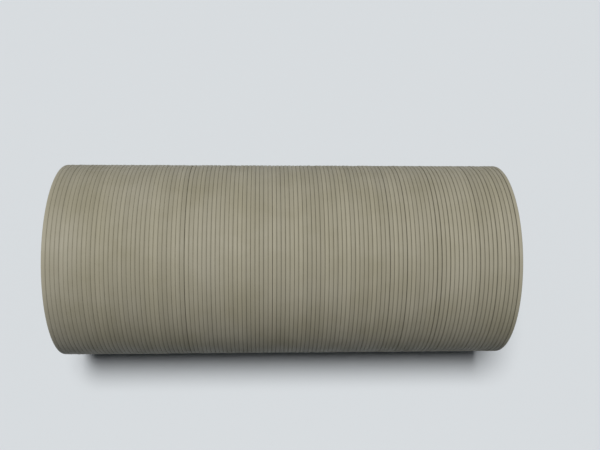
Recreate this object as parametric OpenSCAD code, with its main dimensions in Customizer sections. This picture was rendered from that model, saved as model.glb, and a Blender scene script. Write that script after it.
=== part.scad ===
// Flexible air duct: a pleated plastic hose, closed up to its shortest length.
//
// The wall is one strip of plastic folded into narrow round-topped ribs, side by side.
// Each rib is a hollow pleat that opens towards the bore, so the duct stretches when its
// pleats open and bends when they open on one side only.
// The duct is divided into short runs of turns, which move on each other in two ways:
// every other seam between two runs slides, and the seams between them swing.
//
// Frame: the duct lies along X, centred, on the floor at Z = 0. Units are millimetres.

/* [Duct] */
// Outside diameter over the ribs
duct_d = 154; // [120:1:200]
// Radial depth of the folded wall, from the rib tops to the bore
wall_depth = 5; // [4:0.1:9]
// Thickness of the plastic strip
strip_t = 0.8; // [0.6:0.05:0.95]
// Depth of the flat that the duct rests on, pressed into the lowest rib tops
rest_flat = 0.5; // [0.2:0.05:0.55]

/* [Ribs] */
// Distance from one rib to the next with the pleats closed
rib_pitch = 3.18; // [3.1:0.02:4]
// Width of a rib, measured outside
rib_w = 2.8; // [2.5:0.02:2.9]
// Height of a rib's rounded top
crown_h = 0.85; // [0.6:0.05:1.2]

/* [Runs] */
// Turns in the rigid run at each end, which goes over a spigot
end_turns = 10; // [6:1:14]
// Turns in the run before a swinging seam
short_turns = 2; // [1:1:4]
// Turns in the run after a swinging seam
long_turns = 3; // [2:1:5]
// Pairs of one short run and one long run between the two end runs
run_pairs = 18; // [4:1:28]

/* [Hidden] */
inner_runs = 2 * run_pairs;

NODES = [
    "inlet_turns",
    for (i = [1:inner_runs]) str("turns_", i < 10 ? "0" : "", i),
    "outlet_turns"
];

// The revolved solids are true curves, so this only sets how smooth the preview is
$fn = 120;
// Flats round a rib's top, and round the top of the hollow in it
rib_steps = 8;
hollow_steps = 6;

outer_r = duct_d / 2;
bore_r = outer_r - wall_depth;
// Gap between two closed pleats, and so between two runs
rib_gap = rib_pitch - rib_w;
// The hollow in a rib keeps the strip's thickness all round it
hollow_w = rib_w - 2 * strip_t;
hollow_crown = crown_h * hollow_w / rib_w;
axis_z = outer_r - rest_flat;
// How far a cutting shape runs past what it cuts
past = 1;

last_run = len(NODES) - 1;
total_turns = turns_before(last_run) + end_turns;

plastic = [0.64, 0.63, 0.55];

// Number of turns in a run: odd inner runs are short, even ones long
function turns_in(run) =
    run == 0 || run == last_run ? end_turns
    : run % 2 == 1 ? short_turns
    : long_turns;

// Turns that lie before a run, counted from the inlet
function turns_before(run) = run == 0 ? 0 : turns_before(run - 1) + turns_in(run - 1);

// One upright finger with a rounded top: a rib from outside, or the pleat's hollow in it.
// The top is half an ellipse of the given crown height.
module finger(width, crown, foot_r, top_r, steps) {
    top = [
        for (k = [0:steps]) let (a = 180 * k / steps - 90)
            [top_r - crown * (1 - cos(a)), width / 2 * sin(a)]
    ];
    polygon(concat([[foot_r, width / 2], [foot_r, -width / 2]], top));
}

// Section of the folded strip over some turns. X is the radius, Y runs along the duct.
// The strip's inner edge joins the feet of the ribs, which stand on it.
module strip_section(turns) {
    difference() {
        union() {
            translate([bore_r, rib_gap / 2])
                square([strip_t, turns * rib_pitch - rib_gap]);
            for (i = [0:turns - 1])
                translate([0, (i + 0.5) * rib_pitch])
                    finger(rib_w, crown_h, bore_r, outer_r, rib_steps);
        }
        for (i = [0:turns - 1])
            translate([0, (i + 0.5) * rib_pitch])
                finger(hollow_w, hollow_crown, bore_r - past, outer_r - strip_t, hollow_steps);
    }
}

// One rigid run of turns in its place, with the flat that it rests on
module run_of_turns(run) {
    turns = turns_in(run);
    start_x = (turns_before(run) - total_turns / 2) * rib_pitch;
    color(plastic)
        difference() {
            translate([start_x, 0, axis_z])
                rotate([0, 90, 0])
                    rotate_extrude()
                        strip_section(turns);
            translate([start_x - past, -outer_r, -outer_r])
                cube([turns * rib_pitch + 2 * past, duct_d, outer_r]);
        }
}

for (run = [0:last_run])
    run_of_turns(run);
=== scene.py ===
"""Looks of the flexible air duct: its ribs, the folds between them, the plastic and the studio.

Every rib and every fold is a closed ring round the duct's axis. A rib keeps its shape, and a fold
lies between two ribs.
Lengths are in metres, apart from the camera's lens and sensor.
"""

import math
import random

import bpy
from mathutils import Matrix, Vector


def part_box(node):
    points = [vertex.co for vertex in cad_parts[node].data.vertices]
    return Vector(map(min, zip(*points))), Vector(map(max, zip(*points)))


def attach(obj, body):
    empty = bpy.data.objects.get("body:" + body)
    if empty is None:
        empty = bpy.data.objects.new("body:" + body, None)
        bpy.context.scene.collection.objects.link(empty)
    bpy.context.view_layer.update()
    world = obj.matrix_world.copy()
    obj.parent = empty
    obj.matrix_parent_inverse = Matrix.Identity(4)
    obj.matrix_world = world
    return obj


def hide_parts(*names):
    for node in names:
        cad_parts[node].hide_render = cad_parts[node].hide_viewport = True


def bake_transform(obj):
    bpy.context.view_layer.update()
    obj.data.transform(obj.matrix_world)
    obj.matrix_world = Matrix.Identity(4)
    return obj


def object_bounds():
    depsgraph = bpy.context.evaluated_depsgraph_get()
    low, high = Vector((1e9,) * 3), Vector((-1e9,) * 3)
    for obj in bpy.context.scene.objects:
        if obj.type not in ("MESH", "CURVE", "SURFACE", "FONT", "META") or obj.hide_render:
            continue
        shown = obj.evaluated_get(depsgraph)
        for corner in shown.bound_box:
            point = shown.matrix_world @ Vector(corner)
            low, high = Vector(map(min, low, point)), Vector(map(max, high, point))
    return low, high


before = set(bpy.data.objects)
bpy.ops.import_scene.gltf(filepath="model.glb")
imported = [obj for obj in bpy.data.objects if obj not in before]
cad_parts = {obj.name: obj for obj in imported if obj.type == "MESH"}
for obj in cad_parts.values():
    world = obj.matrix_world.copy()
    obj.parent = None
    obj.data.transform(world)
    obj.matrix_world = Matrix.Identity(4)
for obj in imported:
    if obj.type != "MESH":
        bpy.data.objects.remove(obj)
random.seed(41)

MM = 0.001

# Turns in the whole duct, and in the rigid run at each end
TURNS = 110
END_TURNS = 10

# The duct's box and its runs of turns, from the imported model
CAD_LOW, CAD_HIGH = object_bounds()
RUNS = sorted(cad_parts, key=lambda name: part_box(name)[0].x)
OUTER_R = (CAD_HIGH.y - CAD_LOW.y) / 2
AXIS_Z = CAD_HIGH.z - OUTER_R
PITCH = (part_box(RUNS[-1])[0].x - CAD_LOW.x) / (TURNS - END_TURNS)
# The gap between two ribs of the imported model
GROOVE = END_TURNS * PITCH - (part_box(RUNS[0])[1].x - CAD_LOW.x)

# The plastic strip, the wall that it folds into, and the height of the ribs' rounded crowns.
# The closed pleats press together at the inlet, and part a little towards the outlet.
STRIP_T = 0.8 * MM
WALL_DEPTH = 5 * MM
BORE_R = OUTER_R - WALL_DEPTH
TIGHT_CROWN = 0.40 * MM
LOOSE_CROWN = 0.58 * MM
TIGHT_GROOVE = 0.05 * MM
LOOSE_GROOVE = 0.24 * MM
# One groove in this many is wider, by up to WIDE_EXTRA and by at least WIDE_LEAST of it
WIDE_ONE_IN = 9
WIDE_EXTRA = 0.22 * MM
WIDE_LEAST = 0.3
# How square a rib's top is: 2 makes half an ellipse, and more makes it flatter
SQUARENESS = 2.5

# Small irregularities of a wound strip: how far a rib's edges shift along the duct, how much lower
# its top is, and how far off round it is
EDGE_SHIFT = 0.07 * MM
RIB_DROP = 0.14 * MM
OVALITY = 0.12 * MM

# A fold starts this far under the foot of the highest crown, and runs down to the bore's wall
FOLD_EDGE_DROP = 0.45 * MM
FOLD_EDGE_R = OUTER_R - LOOSE_CROWN - FOLD_EDGE_DROP
FOLD_BOTTOM_R = BORE_R + STRIP_T
# How far a fold's edge sits in the rib beside it
LAP = 0.1 * MM

# A swinging seam opens wider than the rest, so its fold is shallow, as a wide open pleat is
SHALLOW_DEPTH = 2.3 * MM
SHALLOW_BOTTOM_R = OUTER_R - SHALLOW_DEPTH
# Half the gap between that fold's two halves, which a web closes just under them
HALF_SEAM_GAP = 0.02 * MM
WEB_W = 0.2 * MM
WEB_DROP = 0.05 * MM
# The web has creases side by side.
WEB_CREASES = 3
CREASE_DEPTH = 0.55 * MM

# Points round a ring, and steps across a rib's top, a fold and a crease
RING_STEPS = 96
TOP_STEPS = 10
FOLD_STEPS = 8
CREASE_STEPS = 6
# Faces that meet at more than this stay sharp
SHARP_ANGLE = math.radians(50)

# Seams between runs, counted in turns from the inlet. The first one slides, the next one swings,
# and so on.
SEAMS = [round((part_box(run)[1].x - CAD_LOW.x) / PITCH) for run in RUNS[:-1]]
HINGES = SEAMS[1::2]
# A cell is the stretch between two swinging seams.
# The first and the last cell reach as far into the end runs.
CELL_TURNS = HINGES[1] - HINGES[0]
CELL_STARTS = [HINGES[0] - CELL_TURNS] + HINGES


# ---------------------------------------------------------------- where the turns are

def turn_x(turn):
    """Place along the duct of a turn's edge, counted from the inlet."""
    return CAD_LOW.x - GROOVE / 2 + turn * PITCH


def cell_of(turn):
    """Number of the cell that a turn lies in, or None in the rigid ends."""
    if turn < CELL_STARTS[0] or turn >= CELL_STARTS[-1] + CELL_TURNS:
        return None
    return int((turn - CELL_STARTS[0]) // CELL_TURNS)


def share_at(turn, cell):
    """How much of the cell's travel a turn has taken up, from 0 to 1."""
    return min(1.0, max(0.0, (turn - CELL_STARTS[cell]) / CELL_TURNS))


# ---------------------------------------------------------------- baked placement


def share_travel(piece):
    """Bakes the piece's placement into its mesh.
    """
    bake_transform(piece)


# ---------------------------------------------------------------- ring meshes

def ring(name, section, material):
    """A closed ring round the duct's axis. section(angle) gives its (x, radius) outline.

    The lowest points are pressed flat where the duct rests on the floor.
    """
    verts = []
    for k in range(RING_STEPS):
        angle = 2 * math.pi * k / RING_STEPS
        for x, radius in section(angle):
            z = AXIS_Z + radius * math.sin(angle)
            verts.append((x, radius * math.cos(angle), max(z, CAD_LOW.z)))
    count = len(verts) // RING_STEPS
    faces = []
    for k in range(RING_STEPS):
        here, there = k * count, (k + 1) % RING_STEPS * count
        for p in range(count):
            q = (p + 1) % count
            faces.append((here + p, here + q, there + q, there + p))
    mesh = bpy.data.meshes.new(name)
    mesh.from_pydata(verts, [], faces)
    mesh.polygons.foreach_set("use_smooth", [True] * len(faces))
    mesh.set_sharp_from_angle(angle=SHARP_ANGLE)
    # The finish is placed by where the plastic is at rest, so it stays put when the duct moves
    rest = mesh.attributes.new("rest", "FLOAT_VECTOR", "POINT")
    rest.data.foreach_set("vector", [c for v in verts for c in v])
    mesh.materials.append(material)
    piece = bpy.data.objects.new(name, mesh)
    bpy.context.scene.collection.objects.link(piece)
    return piece


def round_top(width, crown, steps):
    """(x, depth) points of a rounded top, from its left end over the middle to its right end."""
    power = 2 / SQUARENESS
    points = []
    for k in range(steps + 1):
        across = -math.cos(math.pi * k / steps)
        up = math.sin(math.pi * k / steps)
        x = math.copysign(width / 2 * abs(across) ** power, across)
        points.append((x, crown * (1 - max(0.0, up) ** power)))
    return points


def make_grooves():
    """(left, right) of the groove at each turn's edge. The duct's own ends are the CAD's."""
    grooves = []
    for turn in range(TURNS + 1):
        width = TIGHT_GROOVE + (LOOSE_GROOVE - TIGHT_GROOVE) * turn / TURNS
        # The chance of a wide groove grows from nothing at the inlet to twice the average
        wide_chance = turn / TURNS / WIDE_ONE_IN * 2
        if random.random() < wide_chance:
            width += random.uniform(WIDE_LEAST, 1.0) * WIDE_EXTRA
        shift = 0.0 if turn in HINGES else random.uniform(-EDGE_SHIFT, EDGE_SHIFT)
        x = turn_x(turn) + shift
        grooves.append((x - width / 2, x + width / 2))
    grooves[0] = (None, CAD_LOW.x)
    grooves[-1] = (CAD_HIGH.x, None)
    return grooves


class Rib:
    """One rib: its edges along the duct, its height and how far off round it is."""

    def __init__(self, number, grooves):
        self.number = number
        self.turn = number + 0.5
        self.low = grooves[number][1]
        self.high = grooves[number + 1][0]
        self.width = self.high - self.low
        self.x = (self.low + self.high) / 2
        self.crown = TIGHT_CROWN + (LOOSE_CROWN - TIGHT_CROWN) * self.turn / TURNS
        self.drop = random.uniform(0, RIB_DROP)
        self.turned = random.uniform(0, 2 * math.pi)

    def top(self, angle):
        """Radius of the rib's top, which is a little less than the duct's in places."""
        return OUTER_R - self.drop - OVALITY * (0.5 + 0.5 * math.cos(2 * angle + self.turned))

    def section(self, angle):
        """Outline of the folded strip: over the outside of the rib, and back inside it."""
        top = self.top(angle)
        hollow_w = self.width - 2 * STRIP_T
        outside = round_top(self.width, self.crown, TOP_STEPS)
        inside = round_top(hollow_w, self.crown * hollow_w / self.width, TOP_STEPS // 2)
        return (
            [(self.low, BORE_R)]
            + [(self.x + x, top - depth) for x, depth in outside]
            + [(self.high, BORE_R), (self.x + hollow_w / 2, BORE_R)]
            + [(self.x + x, top - STRIP_T - depth) for x, depth in inside[::-1]]
            + [(self.x - hollow_w / 2, BORE_R)]
        )


def strip_outline(outside):
    """Closed outline of a strip whose outside runs through the given (x, radius) points."""
    inside = [(x, radius - STRIP_T) for x, radius in outside[::2]]
    return outside + inside[::-1]


def fold_section(x_low, x_high, place_low, place_high, bottom_r, steps):
    """Outline of a fold, or of half of one. Its bottom is at place 0, and a rib at -1 and at 1."""
    outside = []
    for k in range(steps + 1):
        x = x_low + (x_high - x_low) * k / steps
        place = place_low + (place_high - place_low) * k / steps
        rise = (1 - math.cos(math.pi * place)) / 2
        outside.append((x, bottom_r + (FOLD_EDGE_R - bottom_r) * rise))
    return strip_outline(outside)


def web_section(x_middle):
    """Outline of the web at a swinging seam, with its creases."""
    steps = WEB_CREASES * CREASE_STEPS
    outside = []
    for k in range(steps + 1):
        x = x_middle + WEB_W * (k / steps - 0.5)
        crease = (1 - math.cos(2 * math.pi * k / CREASE_STEPS)) / 2
        outside.append((x, SHALLOW_BOTTOM_R - WEB_DROP + CREASE_DEPTH * crease))
    return strip_outline(outside)


# ---------------------------------------------------------------- the duct

def make_rib(rib, material):
    """A rib in a cell has its placement baked into its mesh, and one in a rigid end rides on that
    end.
    """
    piece = ring(f"rib_{rib.number + 1:03d}", rib.section, material)
    cell = cell_of(rib.turn)
    if cell is None:
        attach(piece, RUNS[0] if rib.turn < CELL_STARTS[0] else RUNS[-1])
        return piece
    share_travel(piece)
    return piece


def make_fold(name, before, after, material):
    """The fold between two ribs of one cell or of a rigid end, or of one of each."""
    x_low = before.high - LAP
    x_high = after.low + LAP
    section = fold_section(x_low, x_high, -1, 1, FOLD_BOTTOM_R, FOLD_STEPS)
    piece = ring(name, lambda angle: section, material)
    cells = cell_of(before.turn), cell_of(after.turn)
    if cells == (None, None):
        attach(piece, RUNS[0] if before.turn < CELL_STARTS[0] else RUNS[-1])
        return
    share_travel(
        piece,
    )


def make_hinge_fold(name, seam, before, after, material):
    """The fold at a swinging seam: a half on each side, and the web between them."""
    x_low = before.high - LAP
    x_seam = turn_x(seam)
    x_high = after.low + LAP
    cell = HINGES.index(seam)
    low_shares = share_at(before.turn, cell), 1.0
    high_shares = 0.0, share_at(after.turn, cell + 1)
    sides = (
        ("a", x_low, x_seam - HALF_SEAM_GAP, -1, 0, cell, low_shares),
        ("b", x_seam + HALF_SEAM_GAP, x_high, 0, 1, cell + 1, high_shares),
    )
    for side, low, high, place_low, place_high, half_cell, shares in sides:
        section = fold_section(low, high, place_low, place_high, SHALLOW_BOTTOM_R, FOLD_STEPS // 2)
        half = ring(f"{name}_{side}", lambda angle, s=section: s, material)
        share_travel(half)
    section = web_section(x_seam)
    web = ring(f"{name}_web", lambda angle: section, material)
    share_travel(web)


def make_duct(material):
    """All the ribs, with a fold between each two."""
    grooves = make_grooves()
    ribs = [Rib(number, grooves) for number in range(TURNS)]
    pieces = [make_rib(rib, material) for rib in ribs]
    for turn in range(1, TURNS):
        name = f"fold_{turn:03d}"
        before, after = ribs[turn - 1], ribs[turn]
        if turn in HINGES:
            make_hinge_fold(name, turn, before, after, material)
        else:
            make_fold(name, before, after, material)
    # Each run's CAD solid is hidden
    starts = [0] + SEAMS
    for run, start in zip(RUNS, starts):
        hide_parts(run)


# ---------------------------------------------------------------- materials

# The plastic's tone in its darkest and lightest clouds, and how much a turn darkens or lightens it
DARK_TONE = (0.310, 0.290, 0.216, 1)
LIGHT_TONE = (0.362, 0.342, 0.272, 1)
TURN_TONES = (0.93, 1.05)
# Roughness of its glossiest and its dullest smudges, and its gloss
ROUGHNESS = (0.44, 0.60)
PLASTIC_IOR = 1.49
PLASTIC_GLOSS = 0.12

# Noise lies mostly between these two values
NOISE_LOW = 0.3
NOISE_HIGH = 0.7
# Noise textures, each by its scale, detail and roughness
CLOUDS = (26.0, 3.0, 0.55)
TURN_SHADES = (0.9, 1.0, 0.5)
SMUDGES = (75.0, 4.0, 0.6)
STRIP_LINES = (1.0, 2.0, 0.5)
GRAIN = (1400.0, 2.0, 0.5)
# How fast two of them change along the duct, in X, and round it, in Y and Z
TURN_STRETCH = (1 / PITCH, 4.0, 4.0)
LINE_STRETCH = (4200.0, 60.0, 60.0)
# Bumps, each by its strength and its height in metres
LINE_BUMP = (0.18, 0.00012)
GRAIN_BUMP = (0.10, 0.00010)

# The floor as it is seen, the darker one that throws light on the duct, and its finish
FLOOR_SEEN = (0.68, 0.72, 0.77, 1)
FLOOR_LIT = (0.06, 0.07, 0.09, 1)
FLOOR_ROUGHNESS = 0.9
FLOOR_GLOSS = 0.1


def add(nodes, kind, **values):
    """A shader node with its properties and inputs set."""
    node = nodes.new(kind)
    for key, value in values.items():
        if key in node.inputs:
            node.inputs[key].default_value = value
        else:
            setattr(node, key, value)
    return node


def stretched(nodes, links, place, factors):
    """Socket of the place with each of its three parts multiplied by its factor."""
    product = add(nodes, "ShaderNodeVectorMath", operation="MULTIPLY")
    product.inputs[1].default_value = factors
    links.new(place, product.inputs[0])
    return product.outputs["Vector"]


def noise_at(nodes, links, place, texture):
    """Socket of a noise texture, given by its scale, detail and roughness, read at a place."""
    scale, detail, roughness = texture
    noise = add(nodes, "ShaderNodeTexNoise", Scale=scale, Detail=detail, Roughness=roughness)
    links.new(place, noise.inputs["Vector"])
    return noise.outputs["Fac"]


def spread(nodes, links, noise, low, high):
    """Socket of the noise spread over the range from low to high."""
    ends = {"From Min": NOISE_LOW, "From Max": NOISE_HIGH, "To Min": low, "To Max": high}
    ranged = add(nodes, "ShaderNodeMapRange", **ends)
    links.new(noise, ranged.inputs["Value"])
    return ranged.outputs["Result"]


def bump(nodes, links, height, strength, distance):
    """A bump node on the given height socket."""
    node = add(nodes, "ShaderNodeBump", Strength=strength, Distance=distance)
    links.new(height, node.inputs["Height"])
    return node


def duct_plastic():
    """Warm grey-beige polypropylene strip, semi-gloss, with faint lines along the strip."""
    material = bpy.data.materials.new("duct_plastic")
    material.use_nodes = True
    nodes, links = material.node_tree.nodes, material.node_tree.links
    shader = nodes["Principled BSDF"]
    shader.inputs["IOR"].default_value = PLASTIC_IOR
    shader.inputs["Specular IOR Level"].default_value = PLASTIC_GLOSS
    rest = add(nodes, "ShaderNodeAttribute", attribute_name="rest").outputs["Vector"]

    # Broad clouds of tone, as on plastic that has yellowed a little
    tone = add(nodes, "ShaderNodeValToRGB")
    ends = ((NOISE_LOW, DARK_TONE), (NOISE_HIGH, LIGHT_TONE))
    for element, (position, colour) in zip(tone.color_ramp.elements, ends):
        element.position = position
        element.color = colour
    links.new(noise_at(nodes, links, rest, CLOUDS), tone.inputs["Fac"])
    # Each turn differs a little: this noise changes fast along the duct and slowly round it
    turns = noise_at(nodes, links, stretched(nodes, links, rest, TURN_STRETCH), TURN_SHADES)
    shaded = add(nodes, "ShaderNodeVectorMath", operation="SCALE")
    links.new(tone.outputs["Color"], shaded.inputs[0])
    links.new(spread(nodes, links, turns, *TURN_TONES), shaded.inputs["Scale"])
    links.new(shaded.outputs["Vector"], shader.inputs["Base Color"])

    # Smudges make the gloss uneven
    smudges = noise_at(nodes, links, rest, SMUDGES)
    links.new(spread(nodes, links, smudges, *ROUGHNESS), shader.inputs["Roughness"])

    # Fine lines that run round the duct with the strip, and the grain of the plastic
    lines = noise_at(nodes, links, stretched(nodes, links, rest, LINE_STRETCH), STRIP_LINES)
    line_bump = bump(nodes, links, lines, *LINE_BUMP)
    grain_bump = bump(nodes, links, noise_at(nodes, links, rest, GRAIN), *GRAIN_BUMP)
    links.new(line_bump.outputs["Normal"], grain_bump.inputs["Normal"])
    links.new(grain_bump.outputs["Normal"], shader.inputs["Normal"])
    return material


def seen_directly(nodes, links):
    """Socket that is 1 for rays of the camera, of gloss and of glass, and 0 for stray light."""
    path = add(nodes, "ShaderNodeLightPath")
    seen = path.outputs["Is Camera Ray"]
    for ray in ("Is Glossy Ray", "Is Transmission Ray"):
        either = add(nodes, "ShaderNodeMath", operation="MAXIMUM")
        links.new(seen, either.inputs[0])
        links.new(path.outputs[ray], either.inputs[1])
        seen = either.outputs["Value"]
    return seen


def floor_material():
    """Pale matte floor. It looks pale, but throws less light back up at the duct."""
    material = bpy.data.materials.new("studio_floor")
    material.use_nodes = True
    nodes, links = material.node_tree.nodes, material.node_tree.links
    shader = nodes["Principled BSDF"]
    shader.inputs["Roughness"].default_value = FLOOR_ROUGHNESS
    shader.inputs["Specular IOR Level"].default_value = FLOOR_GLOSS
    colour = add(nodes, "ShaderNodeMix", data_type="RGBA")
    colour.inputs["A"].default_value = FLOOR_LIT
    colour.inputs["B"].default_value = FLOOR_SEEN
    links.new(seen_directly(nodes, links), colour.inputs["Factor"])
    links.new(colour.outputs["Result"], shader.inputs["Base Color"])
    return material


# ---------------------------------------------------------------- studio

FLOOR_SIDE = 60.0
# How far the floor lies under the duct's flat
FLOOR_DROP = 0.0002

# The light shines from this direction, and its spread makes the shadows soft
LIGHT_FROM = Vector((-0.20, -0.07, 2.1))
LIGHT_SPREAD = math.radians(26)
LIGHT_STRENGTH = 3.05
LIGHT_COLOUR = (1.0, 0.985, 0.95)
# Strength of the world: what it lights the duct with, and how bright it looks
SKY_LIGHT = 0.04
SKY_SEEN = 0.8
SKY_COLOUR = (0.93, 0.965, 1.0, 1)

# The camera, fitted to the duct's outline: its lens and sensor in millimetres, how far it is from
# the duct's centre, how high it looks from, and how far the duct's axis turns away from it
SENSOR_W = 36.0
LENS = 43.84
DISTANCE = 0.6055
ELEVATION = math.radians(65)
YAW = math.radians(2.69)
# The image's size and where the duct's centre is in it, in pixels
IMAGE_W, IMAGE_H = 600, 450
CENTRE_PIXEL = (283.2, 258.5)


def make_floor():
    """One large square under the duct."""
    side = FLOOR_SIDE / 2
    mesh = bpy.data.meshes.new("floor")
    corners = [(-side, -side), (side, -side), (side, side), (-side, side)]
    mesh.from_pydata([(x, y, CAD_LOW.z - FLOOR_DROP) for x, y in corners], [], [(0, 1, 2, 3)])
    mesh.materials.append(floor_material())
    floor = bpy.data.objects.new("floor", mesh)
    bpy.context.scene.collection.objects.link(floor)


def make_lights():
    """A wide, even light from overhead, and a faint one from the pale world all round."""
    data = bpy.data.lights.new("overhead_light", "SUN")
    data.angle = LIGHT_SPREAD
    data.energy = LIGHT_STRENGTH
    data.color = LIGHT_COLOUR
    light = bpy.data.objects.new("overhead_light", data)
    light.location = LIGHT_FROM
    light.rotation_euler = (-LIGHT_FROM).to_track_quat("-Z", "Y").to_euler()
    bpy.context.scene.collection.objects.link(light)
    world = bpy.data.worlds.new("studio")
    world.use_nodes = True
    nodes, links = world.node_tree.nodes, world.node_tree.links
    background = nodes["Background"]
    strength = add(nodes, "ShaderNodeMix", data_type="FLOAT")
    strength.inputs["A"].default_value = SKY_LIGHT
    strength.inputs["B"].default_value = SKY_SEEN
    links.new(seen_directly(nodes, links), strength.inputs["Factor"])
    links.new(strength.outputs["Result"], background.inputs["Strength"])
    background.inputs["Color"].default_value = SKY_COLOUR
    bpy.context.scene.world = world


def make_camera():
    """The camera looks at the duct so that its centre falls on CENTRE_PIXEL."""
    data = bpy.data.cameras.new("camera")
    data.sensor_width = SENSOR_W
    data.lens = LENS
    camera = bpy.data.objects.new("camera", data)
    bpy.context.scene.collection.objects.link(camera)
    bpy.context.scene.camera = camera

    # The duct's X axis and the upward direction, as the camera measures them: in its own right,
    # up and back. With the third axis, they make the turn from the camera's directions to ours.
    along = Vector((math.cos(YAW), 0, -math.sin(YAW)))
    up = Vector((0, math.cos(ELEVATION), math.sin(ELEVATION)))
    up = (up - up.dot(along) * along).normalized()
    across = up.cross(along)
    turn = Matrix((along, across, up))

    # From the camera to the duct's centre
    focal = LENS / SENSOR_W * IMAGE_W
    right = (CENTRE_PIXEL[0] - IMAGE_W / 2) / focal * DISTANCE
    above = (IMAGE_H / 2 - CENTRE_PIXEL[1]) / focal * DISTANCE
    centre = turn @ Vector((right, above, -DISTANCE))

    camera.location = Vector((0, 0, AXIS_Z)) - centre
    camera.rotation_euler = turn.to_euler()


make_duct(duct_plastic())
make_floor()
make_lights()
make_camera()
bpy.context.scene.view_settings.view_transform = "Standard"
